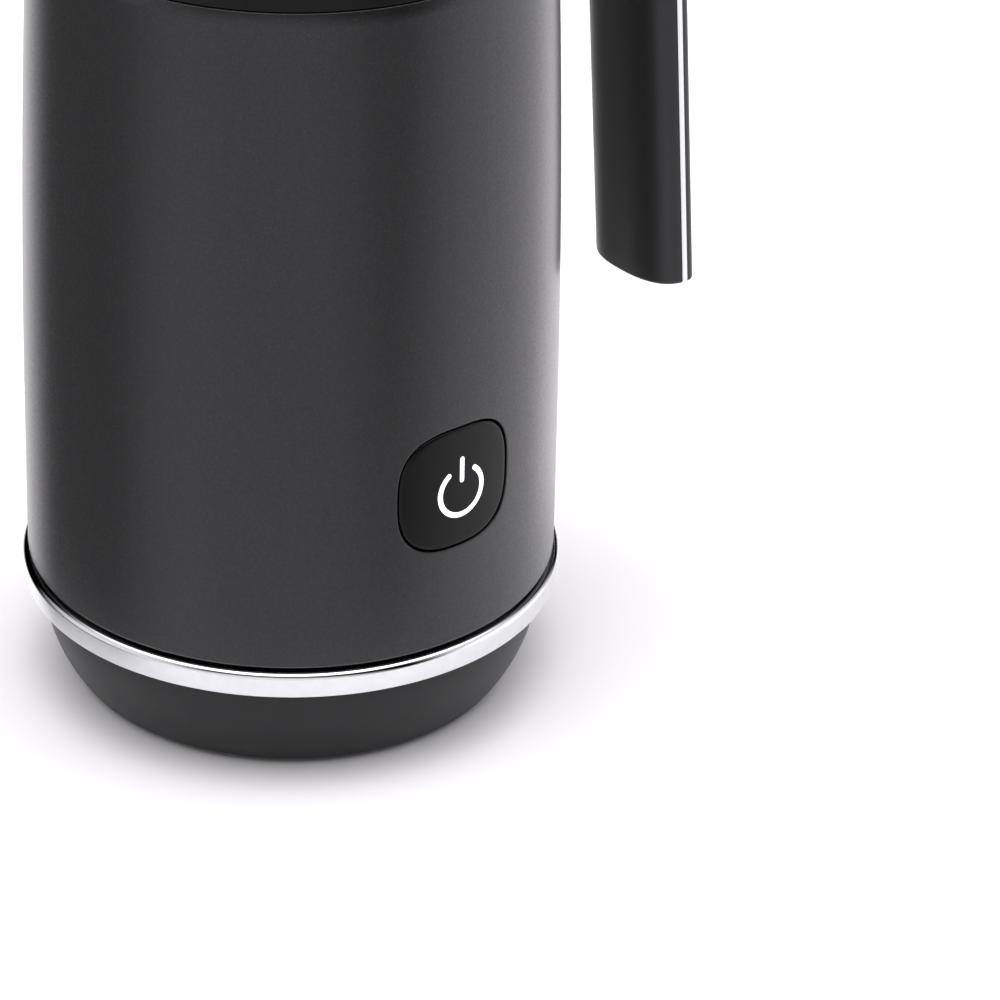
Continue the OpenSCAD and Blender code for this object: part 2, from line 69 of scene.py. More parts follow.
SHELL_LOW, SHELL_HIGH = span("outer_shell")
BODY_R = SHELL_HIGH.x
SHELL_WALL = 0.8
LIP_R = 1.2
SWELL_Z = 55.0
SWELL_ARC_R = 2220.0
BUTTON_LOW, BUTTON_HIGH = span("power_button")
BUTTON_X = (BUTTON_LOW.x + BUTTON_HIGH.x) / 2
BUTTON_Z = (BUTTON_LOW.z + BUTTON_HIGH.z) / 2
BUTTON_A = (BUTTON_HIGH.x - BUTTON_LOW.x) / 2
BUTTON_B = (BUTTON_HIGH.z - BUTTON_LOW.z) / 2
BUTTON_POWER = 2.85
BUTTON_GAP = 0.35
BOWL_LOW, BOWL_HIGH = span("base_bowl")
RING_LOW, RING_HIGH = span("chrome_ring")
COLLAR_LOW, COLLAR_HIGH = span("top_collar")
LID_HIGH = span("lid_cover")[1]
KNOB_HIGH = span("lid_knob")[1]
VESSEL_LOW, VESSEL_HIGH = span("inner_vessel")
GRIP_LOW = span("handle_outer")[0]


def body_radius(z):
    """Outer radius of the painted shell at height z: straight below, then a long arc inwards."""
    return BODY_R - max(0.0, z - SWELL_Z) ** 2 / (2 * SWELL_ARC_R)


# ---- materials ----

def shader(name):
    """A new principled material: its node tree and its shader node."""
    material = bpy.data.materials.new(name)
    material.use_nodes = True
    return material, material.node_tree, material.node_tree.nodes["Principled BSDF"]


def add(tree, kind, inputs=None, **settings):
    """Adds a node, sets its attributes, and sets or links its inputs."""
    node = tree.nodes.new("ShaderNode" + kind)
    for key, value in settings.items():
        setattr(node, key, value)
    for key, value in (inputs or {}).items():
        if isinstance(value, bpy.types.NodeSocket):
            tree.links.new(value, node.inputs[key])
        else:
            node.inputs[key].default_value = value
    return node


def place(tree, scale=(1, 1, 1)):
    """Object coordinates, stretched by scale."""
    coords = add(tree, "TexCoord")
    return add(tree, "Mapping", {"Vector": coords.outputs["Object"], "Scale": scale}).outputs["Vector"]


def ramp(tree, value, stops):
    """Maps a value to colours at stops of (position, grey or colour)."""
    node = add(tree, "ValToRGB", {"Fac": value})
    elements = node.color_ramp.elements
    while len(elements) < len(stops):
        elements.new(0.5)
    for element, (position, colour) in zip(elements, stops):
        element.position = position
        grey = not isinstance(colour, tuple)
        element.color = (colour, colour, colour, 1) if grey else (*colour, 1)
    return node.outputs["Color"]


def bumped(tree, bsdf, height, depth_mm):
    """Links a height to the shader's normal as a bump of that depth."""
    node = add(tree, "Bump", {"Height": height, "Strength": 1.0, "Distance": depth_mm * MM})
    tree.links.new(node.outputs["Normal"], bsdf.inputs["Normal"])


def metallic_paint():
    """Dark titanium paint: fine metal flakes under a satin clear coat."""
    material, tree, bsdf = shader("titanium_paint")
    flake_mm = 0.24
    flakes = add(tree, "TexVoronoi", {"Vector": place(tree), "Scale": 1 / (flake_mm * MM)})
    shade = ramp(tree, flakes.outputs["Color"], [
        (0.0, (0.0117, 0.0112, 0.0119)), (0.55, (0.0181, 0.0174, 0.0185)), (0.86, (0.0240, 0.0230, 0.0245)),
        (1.0, (0.0380, 0.0364, 0.0388))])
    tree.links.new(shade, bsdf.inputs["Base Color"])
    tilt = add(tree, "VectorMath", {0: flakes.outputs["Color"], 1: (0.5, 0.5, 0.5)}, operation="SUBTRACT")
    small = add(tree, "VectorMath", {0: tilt.outputs[0], "Scale": 0.08}, operation="SCALE")
    normal = add(tree, "NewGeometry")
    leaning = add(tree, "VectorMath", {0: normal.outputs["Normal"], 1: small.outputs[0]}, operation="ADD")
    unit = add(tree, "VectorMath", {0: leaning.outputs[0]}, operation="NORMALIZE")
    tree.links.new(unit.outputs[0], bsdf.inputs["Normal"])
    bsdf.inputs["Metallic"].default_value = 0.75
    bsdf.inputs["Roughness"].default_value = 0.46
    bsdf.inputs["Coat Weight"].default_value = 0.7
    bsdf.inputs["Coat Roughness"].default_value = 0.24
    bsdf.inputs["Coat IOR"].default_value = 1.45
    return material


def moulded(name, colour, roughness, ior=1.4, grain_mm=0.35, depth_mm=0.004):
    """Moulded plastic with a fine spark-eroded grain and slightly uneven colour."""
    material, tree, bsdf = shader(name)
    grain = add(tree, "TexNoise", {"Vector": place(tree), "Scale": 1 / (grain_mm * MM), "Detail": 3.0})
    dark = tuple(c * 0.86 for c in colour)
    light = tuple(min(1.0, c * 1.14) for c in colour)
    tree.links.new(ramp(tree, grain.outputs["Fac"], [(0.3, dark), (0.7, light)]), bsdf.inputs["Base Color"])
    patch = add(tree, "TexNoise", {"Vector": place(tree), "Scale": 1 / (9 * MM), "Detail": 2.0})
    rough = ramp(tree, patch.outputs["Fac"], [(0.25, roughness * 0.92), (0.75, roughness * 1.08)])
    tree.links.new(rough, bsdf.inputs["Roughness"])
    bumped(tree, bsdf, grain.outputs["Fac"], depth_mm)
    bsdf.inputs["IOR"].default_value = ior
    return material


def metal(name, colour, roughness, brush=(1, 1, 1), spread=0.25, depth_mm=0.0):
    """Metal whose polish varies along fine brush lines, drawn out where brush is small."""
    material, tree, bsdf = shader(name)
    lines = add(tree, "TexNoise", {"Vector": place(tree, brush), "Scale": 1 / (2.0 * MM), "Detail": 4.0})
    stops = [(0.3, roughness * (1 - spread)), (0.7, roughness * (1 + spread))]
    rough = ramp(tree, lines.outputs["Fac"], stops)
    tree.links.new(rough, bsdf.inputs["Roughness"])
    dark = tuple(c * (1 - 0.15 * spread) for c in colour)
    tree.links.new(ramp(tree, lines.outputs["Fac"], [(0.3, dark), (0.7, colour)]), bsdf.inputs["Base Color"])
    bsdf.inputs["Metallic"].default_value = 1.0
    if depth_mm:
        bumped(tree, bsdf, lines.outputs["Fac"], depth_mm)
    return material


def lit_plastic():
    """Milky plastic lit from behind, its tint a little uneven."""
    material, tree, bsdf = shader("lit_symbol")
    glow = add(tree, "TexNoise", {"Vector": place(tree), "Scale": 1 / (3 * MM), "Detail": 1.0})
    tint = ramp(tree, glow.outputs["Fac"], [(0.3, (0.90, 0.94, 1.0)), (0.7, (1.0, 1.0, 1.0))])
    tree.links.new(tint, bsdf.inputs["Emission Color"])
    tree.links.new(tint, bsdf.inputs["Base Color"])
    bsdf.inputs["Emission Strength"].default_value = 0.82
    bsdf.inputs["Roughness"].default_value = 0.35
    return material


def smoked_window():
    """Smoke-tinted clear plastic."""
    material, tree, bsdf = shader("smoked_clear")
    haze = add(tree, "TexNoise", {"Vector": place(tree), "Scale": 1 / (12 * MM), "Detail": 2.0})
    tint = ramp(tree, haze.outputs["Fac"], [(0.3, (0.30, 0.31, 0.33)), (0.7, (0.36, 0.37, 0.39))])
    tree.links.new(tint, bsdf.inputs["Base Color"])
    bsdf.inputs["Transmission Weight"].default_value = 1.0
    bsdf.inputs["Roughness"].default_value = 0.03
    bsdf.inputs["IOR"].default_value = 1.49
    return material


FINISH = {
    "paint": metallic_paint(),
    "black": moulded("satin_black", (0.0075, 0.0074, 0.0080), 0.41),
    "gloss_black": moulded("fine_black", (0.0030, 0.0029, 0.0032), 0.24, ior=1.26, grain_mm=0.25,
                           depth_mm=0.002),
    # A lighter copy of the satin black for the handle: its extra lightness is painted light, standing for
    # light that the handle catches.
    "grip": moulded("handle_black_painted_light", (0.0235, 0.0232, 0.0242), 0.40, ior=1.42),
    "chrome": metal("polished_chrome", (0.775, 0.785, 0.79), 0.05, spread=0.4),
    "steel": metal("brushed_steel", (0.62, 0.62, 0.63), 0.26, brush=(0.12, 0.12, 5), spread=0.35,
                   depth_mm=0.003),
    "brass": metal("brass", (0.78, 0.58, 0.27), 0.22),
    "rubber": moulded("black_rubber", (0.014, 0.014, 0.014), 0.7, grain_mm=0.5, depth_mm=0.01),
    "seal": moulded("grey_silicone", (0.34, 0.34, 0.35), 0.5, grain_mm=0.6),
    "pale_plastic": moulded("pale_plastic", (0.72, 0.72, 0.69), 0.4),
    "heater": metal("anodised", (0.34, 0.28, 0.26), 0.4),
    "board": moulded("board_green", (0.02, 0.13, 0.05), 0.35, grain_mm=1.0),
    "components": moulded("component_blue", (0.03, 0.05, 0.16), 0.3),
    "magnet": metal("nickel", (0.60, 0.59, 0.57), 0.18),
    "lit": lit_plastic(),
    "smoked": smoked_window(),
}


# ---- shapes ----

def mesh_object(name, verts, faces):
    """A new object from vertices in millimetres, with its faces' normals turned outwards."""
    mesh = bpy.data.meshes.new(name)
    mesh.from_pydata([Vector(v) * MM for v in verts], [], faces)
    edit = bmesh.new()
    edit.from_mesh(mesh)
    bmesh.ops.recalc_face_normals(edit, faces=edit.faces)
    edit.to_mesh(mesh)
    edit.free()
    shape = bpy.data.objects.new(name, mesh)
    bpy.context.scene.collection.objects.link(shape)
    return shape


def smooth(mesh, sharp):
    """Smooth shading, with edges sharper than an angle in degrees kept crisp."""
    mesh.polygons.foreach_set("use_smooth", [True] * len(mesh.polygons))
    mesh.set_sharp_from_angle(angle=math.radians(sharp))


def piece(node, verts, faces, sharp=38, material=None):
    """Makes the shape that stands for a CAD node, riding on its body and with its slot's finish."""
    shape = mesh_object(node + "_shape", verts, faces)
    smooth(shape.data, sharp)
    shape.data.materials.append(material or FINISH[SLOT_OF[node]])
    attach(shape, BODY_OF[node])
    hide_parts(node)
    return shape


def rounded(corners, steps=6):
    """An outline through corners of (radius, height, rounding), with each corner rounded by an arc."""
    points = []
    for i, (r, z, rounding) in enumerate(corners):
        here = Vector((r, z))
        if rounding <= 0:
            points.append(here)
            continue
        before = Vector(corners[i - 1][:2]) - here
        after = Vector(corners[(i + 1) % len(corners)][:2]) - here
        half = before.angle(after) / 2
        reach = min(rounding / math.tan(half), 0.49 * before.length, 0.49 * after.length)
        radius = reach * math.tan(half)
        middle = (before.normalized() + after.normalized()).normalized() * (radius / math.sin(half))
        a = before.normalized() * reach - middle
        b = after.normalized() * reach - middle
        turn = a.angle(b)
        for k in range(steps + 1):
            t = k / steps
            offset = (a * math.sin((1 - t) * turn) + b * math.sin(t * turn)) / math.sin(turn)
            points.append(here + middle + offset)
    return points


def arc(x, z, radius, start, end, steps):
    """Points along an arc in the outline's plane, angles in degrees."""
    angles = [math.radians(start + (end - start) * k / steps) for k in range(steps + 1)]
    return [Vector((x + radius * math.cos(a), z + radius * math.sin(a))) for a in angles]


def revolve(outline, segments=SEGMENTS):
    """Vertices and faces of a closed outline of (radius, height) turned about Z."""
    verts, faces, rows = [], [], []
    for r, z in outline:
        if abs(r) < 1e-6:
            rows.append([len(verts)])
            verts.append((0, 0, z))
            continue
        rows.append(list(range(len(verts), len(verts) + segments)))
        for k in range(segments):
            angle = 2 * math.pi * k / segments
            verts.append((r * math.cos(angle), r * math.sin(angle), z))
    for i, row in enumerate(rows):
        after = rows[(i + 1) % len(rows)]
        if len(row) == 1 and len(after) == 1:
            continue
        for k in range(segments):
            ring = [row[k % len(row)], row[(k + 1) % len(row)],
                    after[(k + 1) % len(after)], after[k % len(after)]]
            faces.append(list(dict.fromkeys(ring)))
    return verts, faces


def lathe(node, outline, segments=SEGMENTS, **options):
    """A piece turned about Z from an outline."""
    return piece(node, *revolve(outline, segments), **options)


def soft_square(angle, grow):
    """Distance from the button's centre to its outline in a direction, with the outline moved out by grow."""
    a, b = BUTTON_A + grow, BUTTON_B + grow
    shape = abs(math.cos(angle) / a) ** BUTTON_POWER + abs(math.sin(angle) / b) ** BUTTON_POWER
    return shape ** (-1 / BUTTON_POWER)


def on_front(x, z, depth):
    """A point of the jug's front, depth below the painted surface."""
    r = body_radius(z) - depth
    return (x, -math.sqrt(r * r - x * x), z)


# ---- the painted shell ----

def outer_shell():
    """The shell with its rolled lower lip and the soft-edged opening for the button."""
    columns = 20
    patch_rows = 24
    patch_half_z = 20.0
    front = SEGMENTS * 3 // 4
    lip_x = BODY_R - LIP_R
    lip_z = SHELL_LOW.z + LIP_R * math.sin(math.radians(60))
    edge = 0.25
    lip_out = arc(lip_x, lip_z, LIP_R, -60, 0, 10)
    lip_in = arc(lip_x, lip_z, LIP_R - SHELL_WALL, -60, 0, 10)
    patch_z = [BUTTON_Z - patch_half_z + 2 * patch_half_z * k / patch_rows for k in range(patch_rows + 1)]
    top_rows = 28
    top_z = [patch_z[-1] + (SHELL_HIGH.z - edge - patch_z[-1]) * k / top_rows for k in range(1, top_rows + 1)]
    heights = [31.0, 34.5] + patch_z + top_z
    outer = lip_out + [Vector((body_radius(z), z)) for z in heights]
    inner = lip_in + [Vector((body_radius(z) - SHELL_WALL, z)) for z in heights]
    outer.append(Vector((body_radius(SHELL_HIGH.z) - edge, SHELL_HIGH.z)))
    inner.append(Vector((body_radius(SHELL_HIGH.z) - SHELL_WALL + edge, SHELL_HIGH.z)))
    first_row = len(lip_out) + 2
    last_row = first_row + patch_rows
    verts, faces = [], []
    for sheet in (outer, inner):
        for r, z in sheet:
            for k in range(SEGMENTS):
                angle = 2 * math.pi * k / SEGMENTS
                verts.append((r * math.cos(angle), r * math.sin(angle), z))
    rows = len(outer)

    def at(sheet, i, k):
        return (sheet * rows + i) * SEGMENTS + k % SEGMENTS

    for sheet in (0, 1):
        for i in range(rows - 1):
            for k in range(SEGMENTS):
                if first_row <= i < last_row and front - columns <= k < front + columns:
                    continue
                faces.append([at(sheet, i, k), at(sheet, i, k + 1),
                              at(sheet, i + 1, k + 1), at(sheet, i + 1, k)])
    for i in (0, rows - 1):
        for k in range(SEGMENTS):
            faces.append([at(0, i, k), at(0, i, k + 1), at(1, i, k + 1), at(1, i, k)])

    around = [(first_row, front + k) for k in range(-columns, columns)]
    around += [(first_row + k, front + columns) for k in range(patch_rows)]
    around += [(last_row, front + k) for k in range(columns, -columns, -1)]
    around += [(first_row + k, front - columns) for k in range(patch_rows, 0, -1)]

    def ring_of(spread, grow, depth):
        ring = []
        for i, k in around:
            x, _, z = verts[at(0, i, k)]
            angle = math.atan2(z - BUTTON_Z, x - BUTTON_X)
            reach = soft_square(angle, grow)
            near = Vector((BUTTON_X + reach * math.cos(angle), BUTTON_Z + reach * math.sin(angle)))
            spot = near.lerp(Vector((x, z)), spread)
            ring.append(len(verts))
            verts.append(on_front(spot.x, spot.y, depth))
        return ring

    def bridge(a, b):
        for k in range(len(a)):
            n = (k + 1) % len(a)
            faces.append([a[k], a[n], b[n], b[k]])

    spreads = (0.75, 0.52, 0.34, 0.2, 0.1, 0.04)
    last = [at(0, i, k) for i, k in around]
    for spread in spreads:
        ring = ring_of(spread, BUTTON_GAP + edge, 0)
        bridge(last, ring)
        last = ring
    for k in range(6):
        turn = math.radians(90 * k / 5)
        ring = ring_of(0, BUTTON_GAP + edge * (1 - math.sin(turn)), edge * (1 - math.cos(turn)))
        bridge(last, ring)
        last = ring
    mouth = ring_of(0, BUTTON_GAP, SHELL_WALL)
    bridge(last, mouth)
    last = [at(1, i, k) for i, k in around]
    for spread in spreads:
        ring = ring_of(spread, BUTTON_GAP, SHELL_WALL)
        bridge(last, ring)
        last = ring
    bridge(last, mouth)
    return piece("outer_shell", verts, faces, sharp=50)


# ---- the button ----

def power_button():
    """The curved key with soft edges, flush with the shell."""
    edge = 0.55
    back = 4.0
    count = 144
    rings = [(-BUTTON_B * (1 - k / 8), 0.0) for k in range(1, 8)]
    rings += [(-edge * (1 - math.sin(math.radians(15 * k))), edge * (1 - math.cos(math.radians(15 * k))))
              for k in range(7)]
    rings += [(0.0, back)]
    rings += [(-BUTTON_B * k / 4, back) for k in range(1, 4)]
    verts = [on_front(BUTTON_X, BUTTON_Z, 0)]
    rows = []
    for grow, depth in rings:
        rows.append(list(range(len(verts), len(verts) + count)))
        for k in range(count):
            angle = 2 * math.pi * k / count
            reach = soft_square(angle, grow)
            spot = (BUTTON_X + reach * math.cos(angle), BUTTON_Z + reach * math.sin(angle))
            verts.append(on_front(*spot, depth + 0.02))
    rows = [[0]] + rows + [[len(verts)]]
    verts.append(on_front(BUTTON_X, BUTTON_Z, back))
    faces = []
    for row, after in zip(rows, rows[1:]):
        for k in range(count):
            ring = [row[k % len(row)], row[(k + 1) % len(row)],
                    after[(k + 1) % len(after)], after[k % len(after)]]
            faces.append(list(dict.fromkeys(ring)))
    return piece("power_button", verts, faces, sharp=50)


SYMBOL_CENTRE = Vector((BUTTON_X + 0.8, BUTTON_Z - 1.0))
SYMBOL_R = 4.9
SYMBOL_HALF_W = 0.52
SYMBOL_OPEN = 38


def stroke(path, half_w, height, depth):
    """A flat stroke with round ends along points of the button's front, as vertices and faces."""
    across, cap = 6, 6
    rows = []
    for sign, here, after in ((-1, path[0], path[1]), (1, path[-2], path[-1])):
        end = here if sign < 0 else after
        along = (after - here).normalized()
        caps = [(end + along * sign * half_w * math.sin(a), along, half_w * math.cos(a))
                for a in (math.radians(88 * k / cap) for k in range(1, cap + 1))]
        if sign < 0:
            rows = caps[::-1]
        else:
            tail = caps
    for k, here in enumerate(path):
        along = (path[min(k + 1, len(path) - 1)] - path[max(k - 1, 0)]).normalized()
        rows.append((here, along, half_w))
    rows += tail
    verts = []
    for level in (-height, depth):
        for here, along, reach in rows:
            side = Vector((-along.y, along.x))
            for k in range(across + 1):
                spot = here + side * reach * (2 * k / across - 1)
                verts.append(on_front(spot.x, spot.y, level))
    faces = []
    wide, long = across + 1, len(rows)
    for sheet in (0, wide * long):
        for i in range(long - 1):
            for k in range(across):
                a = sheet + i * wide + k
                faces.append([a, a + 1, a + wide + 1, a + wide])
    rim = list(range(wide)) + [i * wide + across for i in range(1, long)]
    rim += [(long - 1) * wide + k for k in range(across - 1, -1, -1)]
    rim += [i * wide for i in range(long - 2, 0, -1)]
    for k, a in enumerate(rim):
        b = rim[(k + 1) % len(rim)]
        faces.append([a, b, b + wide * long, a + wide * long])
    return verts, faces


def power_symbol():
    """The lit sign: a ring open at the top and an upright bar in the opening."""
    sweep = 360 - 2 * SYMBOL_OPEN
    ring = []
    for k in range(73):
        angle = math.radians(90 - SYMBOL_OPEN - sweep * k / 72)
        ring.append(SYMBOL_CENTRE + SYMBOL_R * Vector((math.cos(angle), math.sin(angle))))
    bar = [SYMBOL_CENTRE + Vector((0, 2.25 + 4.35 * k / 8)) for k in range(9)]
    verts, faces = stroke(ring, SYMBOL_HALF_W, 0.03, 0.6)
    more, more_faces = stroke(bar, SYMBOL_HALF_W * 0.93, 0.03, 0.6)
    faces += [[index + len(verts) for index in face] for face in more_faces]
    return piece("power_symbol", verts + more, faces, sharp=50)


# ---- the power base ----

def soft_neck(grow, count=96):
    """The keyed hole's outline: a square with rounded-off corners, about the cord's axis."""
    half = NECK_HALF + grow
    points = []
    for k in range(count):
        angle = 2 * math.pi * k / count
        share = abs(math.cos(angle)) ** 5 + abs(math.sin(angle)) ** 5
        reach = half * share ** -0.2
        points.append((reach * math.cos(angle), reach * math.sin(angle)))
    return points


def sideways_solid(sections):
    """A closed solid from outlines of (x, height above the cord's axis) at distances along Y."""
    verts, faces = [], []
    for y, outline in sections:
        verts += [(x, y, CORD_Z + z) for x, z in outline]
    count = len(sections[0][1])
    for i in range(len(sections) - 1):
        for k in range(count):
            n = (k + 1) % count
            faces.append([i * count + k, i * count + n, (i + 1) * count + n, (i + 1) * count + k])
    faces.append(list(range(count)))
    faces.append(list(range((len(sections) - 1) * count, len(sections) * count)))
    return verts, faces


def combine(target, steps):
    """Applies boolean steps of (operation, sections of a sideways solid) to a piece's own mesh."""
    for operation, sections in steps:
        other = mesh_object("tool", *sideways_solid(sections))
        change = target.modifiers.new("step", "BOOLEAN")
        change.object = other
        change.solver = "EXACT"
        change.operation = operation
        bpy.context.view_layer.update()
        solid = target.evaluated_get(bpy.context.evaluated_depsgraph_get())
        result = bpy.data.meshes.new_from_object(solid)
        target.modifiers.clear()
        target.data = result
        bpy.data.objects.remove(other)


def circle(radius, count=96):
    """A round outline about the cord's axis."""
    return [(radius * math.cos(2 * math.pi * k / count), radius * math.sin(2 * math.pi * k / count))
            for k in range(count)]


GLAND_LOW, GLAND_HIGH = span("cord_gland")
CORD_Z = (GLAND_LOW.z + GLAND_HIGH.z) / 2
OUTLET_Y = GLAND_HIGH.y - 1.6
BOSS_R = 6.9
NECK_HALF = 4.6
NECK_GAP = 0.1
SNAP_R = 5.6
SNAP_LOW_Y, SNAP_HIGH_Y = 38.7, 40.5
FLANGE_R = 6.5


def base_bowl():
    """The bowl with its rounded side, its thin flange under the bright ring and the boss for the cord."""
    wall = 2.2
    flange = 0.5
    rim = 47.9
    arc_r = 31.0
    arc_x = rim - arc_r
    arc_z = BOWL_HIGH.z - flange
    low = 1.6
    floor = 3.6
    flange_r = 49.4
    outer_start = -math.degrees(math.asin((arc_z - low) / arc_r))
    inner_end = -math.degrees(math.asin((arc_z - floor) / (arc_r - wall)))
    low_x = arc_x + math.sqrt(arc_r ** 2 - (arc_z - low) ** 2)
    hole_x = 38.4
    outline = [Vector((hole_x, BOWL_LOW.z))]
    outline += arc(low_x - 0.9, BOWL_LOW.z + 0.9, 0.9, -90, -40, 6)
    outline += arc(arc_x, arc_z, arc_r, outer_start, 0, 28)
    outline += rounded([(rim, arc_z, 0), (flange_r, arc_z, 0.12), (flange_r, BOWL_HIGH.z, 0.12),
                        (rim - wall, BOWL_HIGH.z, 0)], steps=3)[1:]
    outline += arc(arc_x, arc_z, arc_r - wall, 0, inner_end, 20)
    outline += [Vector((hole_x, floor))]
    bowl = lathe("base_bowl", outline)
    beyond = 60
    boss = [(SNAP_HIGH_Y, circle(BOSS_R)), (OUTLET_Y + 0.7, circle(BOSS_R)),
            (OUTLET_Y + 1.0, circle(BOSS_R - 0.3))]
    keyed = [(beyond / 2, soft_neck(NECK_GAP)), (beyond, soft_neck(NECK_GAP))]
    recess = [(OUTLET_Y, circle(BOSS_R + 0.2)), (beyond, circle(BOSS_R + 0.2))]
    combine(bowl, [("UNION", boss), ("DIFFERENCE", keyed), ("DIFFERENCE", recess)])
    bowl.data.set_sharp_from_angle(angle=math.radians(38))
    return bowl


def chrome_ring():
    """The polished band: a leaning face below and a rounded lip on top."""
    inner = 48.2
    return lathe("chrome_ring", rounded([
        (inner, RING_LOW.z, 0), (RING_HIGH.x - 0.4, RING_LOW.z, 0.25), (RING_HIGH.x, RING_HIGH.z, 1.05),
        (inner, RING_HIGH.z, 0.3)], steps=12))


def cord_gland():
    """The bushing: a soft-edged flange, a keyed neck in the wall and a ring inside, with the cord's bore."""
    inner_y, outer_y = GLAND_LOW.y, GLAND_HIGH.y
    bore = 3.3
    count = 96
    edge = 0.6
    neck, ring = soft_neck(0, count), circle(SNAP_R, count)
    sections = [(inner_y, neck), (SNAP_LOW_Y, neck), (SNAP_LOW_Y, ring), (SNAP_HIGH_Y, ring),
                (SNAP_HIGH_Y, neck), (OUTLET_Y, neck), (OUTLET_Y, circle(FLANGE_R, count))]
    for k in range(6):
        turn = math.radians(90 * k / 5)
        radius = FLANGE_R - edge * (1 - math.cos(turn))
        sections.append((outer_y - edge * (1 - math.sin(turn)), circle(radius, count)))
    mouth = [(bore + 0.5, outer_y), (bore + 0.15, outer_y - 0.15), (bore, outer_y - 0.5), (bore, inner_y)]
    for radius, y in mouth:
        sections.append((y, circle(radius, count)))
    verts, faces = sideways_solid(sections)
    faces = faces[:-2]
    last = (len(sections) - 1) * count
    faces += [[last + k, last + (k + 1) % count, (k + 1) % count, k] for k in range(count)]
    return piece("cord_gland", verts, faces)


# ---- the rim, the vessel and the lid ----

def bump(distance, width):
    """A smooth bump: 1 at 0, falling to 0 at width."""
    t = max(0.0, 1 - abs(distance) / width)
    return t * t * (3 - 2 * t)


def top_collar():
    """The rim, drawn out at -X into a pouring nose with a channel in it."""
    bore, rim = 38.0, COLLAR_HIGH.z
    outer = 48.0
    step = SHELL_HIGH.z + 0.2
    neck = body_radius(SHELL_HIGH.z) - SHELL_WALL - 0.1
    nose = -COLLAR_LOW.x
    outline = rounded([
        (bore, 166.0, 0.2), (43.6, 166.0, 0.2), (43.6, 160, 0), (neck - 1.6, 160, 0), (neck - 1.6, 150, 0.2),
        (neck - 0.2, 150, 0.4), (neck, 152, 0), (neck, step, 0.1), (outer, step, 0.25), (outer, 163, 0),
        (outer, rim, 1.4), (42.5, rim, 0), (bore + 0.2, rim, 1.1), (bore, 168.2, 0)], steps=8)
    verts, faces = [], []
    half = 19.0
    for r, z in outline:
        for k in range(SEGMENTS):
            angle = 360 * k / SEGMENTS
            away = angle - 180
            share = bump(away, half)
            lift = max(0.0, min(1.0, (z - step - 1) / (rim - step - 1)))
            if r > 46 and z > step:
                radius = r + (nose - outer) * share * lift ** 1.5
            elif r <= 43 and z > 166.5:
                depth = max(0.0, min(1.0, (z - 166.5) / (rim - 166.5)))
                radius = r + share ** 0.8 * ((nose - 1.7 - r) * (0.45 + 0.55 * depth))
            else:
                radius = r
            a = math.radians(angle)
            verts.append((radius * math.cos(a), radius * math.sin(a), z))
    count = len(outline)
    for i in range(count):
        for k in range(SEGMENTS):
            a, b = i * SEGMENTS, (i + 1) % count * SEGMENTS
            n = (k + 1) % SEGMENTS
            faces.append([a + k, a + n, b + n, b + k])
    return piece("top_collar", verts, faces, sharp=50)


def inner_vessel():
    """The drawn steel cup with a rolled flange and two pressed level rings."""
    inner = 37.5
    wall = 0.8
    floor = VESSEL_LOW.z + wall
    rim = VESSEL_HIGH.z
    round_r = 7.0
    outline = [Vector((0, VESSEL_LOW.z))]
    outline += arc(inner - round_r, floor + round_r, round_r + wall, -90, 0, 14)
    outline += rounded([(inner + wall, rim - wall, 0.6), (VESSEL_HIGH.x, rim - wall, 0.2),
                        (VESSEL_HIGH.x, rim, 0.2), (inner, rim, 0.7)])
    for level in (138.0, 112.0):
        outline += arc(inner + 0.1, level, 0.32, 112, 248, 8)
    outline += arc(inner - round_r, floor + round_r, round_r, 0, -90, 14)
    outline += [Vector((0, floor))]
    return lathe("inner_vessel", outline)


def lid():
    """The lid's cover, its smoked window, the two-lipped seal and the knob."""
    skirt, plug, base = 35.4, 36.9, 171.3
    plug_low, _ = span("lid_plug")
    lathe("lid_cover", rounded([
        (skirt, base, 0.1), (LID_HIGH.x, base, 0.3), (LID_HIGH.x, base + 2.6, 1.4), (40, 175.9, 6),
        (32, 178.2, 8),
        (24.3, 179.4, 0.25), (24, 179.1, 0), (24, 177.2, 0.1), (32, 176, 3), (skirt, 174.6, 1)], steps=8))
    lathe("lid_plug", rounded([
        (skirt, plug_low.z, 0.4), (plug, plug_low.z, 0.5), (plug, base, 0), (skirt, base, 0)]))
    lathe("lid_window", rounded([
        (5.3, 177.4, 0.1), (23.95, 177.4, 0.1), (23.95, 179.2, 0.15), (14, 179.7, 8), (5.3, 179.9, 0.2)]))
    lathe("lid_seal", rounded([
        (36.9, 166.4, 0), (37.3, 166.4, 0.1), (37.72, 166.9, 0.12), (37.3, 167.3, 0.15), (37.3, 168.1, 0.15),
        (37.72, 168.5, 0.12), (37.3, 169, 0.1), (36.9, 169, 0)]))
    top, r = KNOB_HIGH.z, KNOB_HIGH.x
    lathe("lid_knob", rounded([
        (0, 176, 0), (2.6, 176, 0.2), (2.6, 177.2, 0), (5.2, 177.2, 0.1), (5.2, 180.1, 0.6),
        (6.4, 180.1, 0.4), (6.2, 182.4, 1.2), (r, 184, 0.8), (r, 187.2, 1.6), (6, 189.4, 6),
        (0, top, 0)], steps=8), segments=128)


# ---- the handle ----

GRIP_LEAN = math.radians(4.1)
GRIP_Z0 = GRIP_LOW.z
GRIP_BEND_Z = 148.0
GRIP_BEND_R = 16.0
GRIP_X = 90.4
GRIP_HALF_W = 11.9
GRIP_OUT = 3.35
GRIP_IN = 7.7
STRIP_FROM, STRIP_TO = -1.65, -0.5


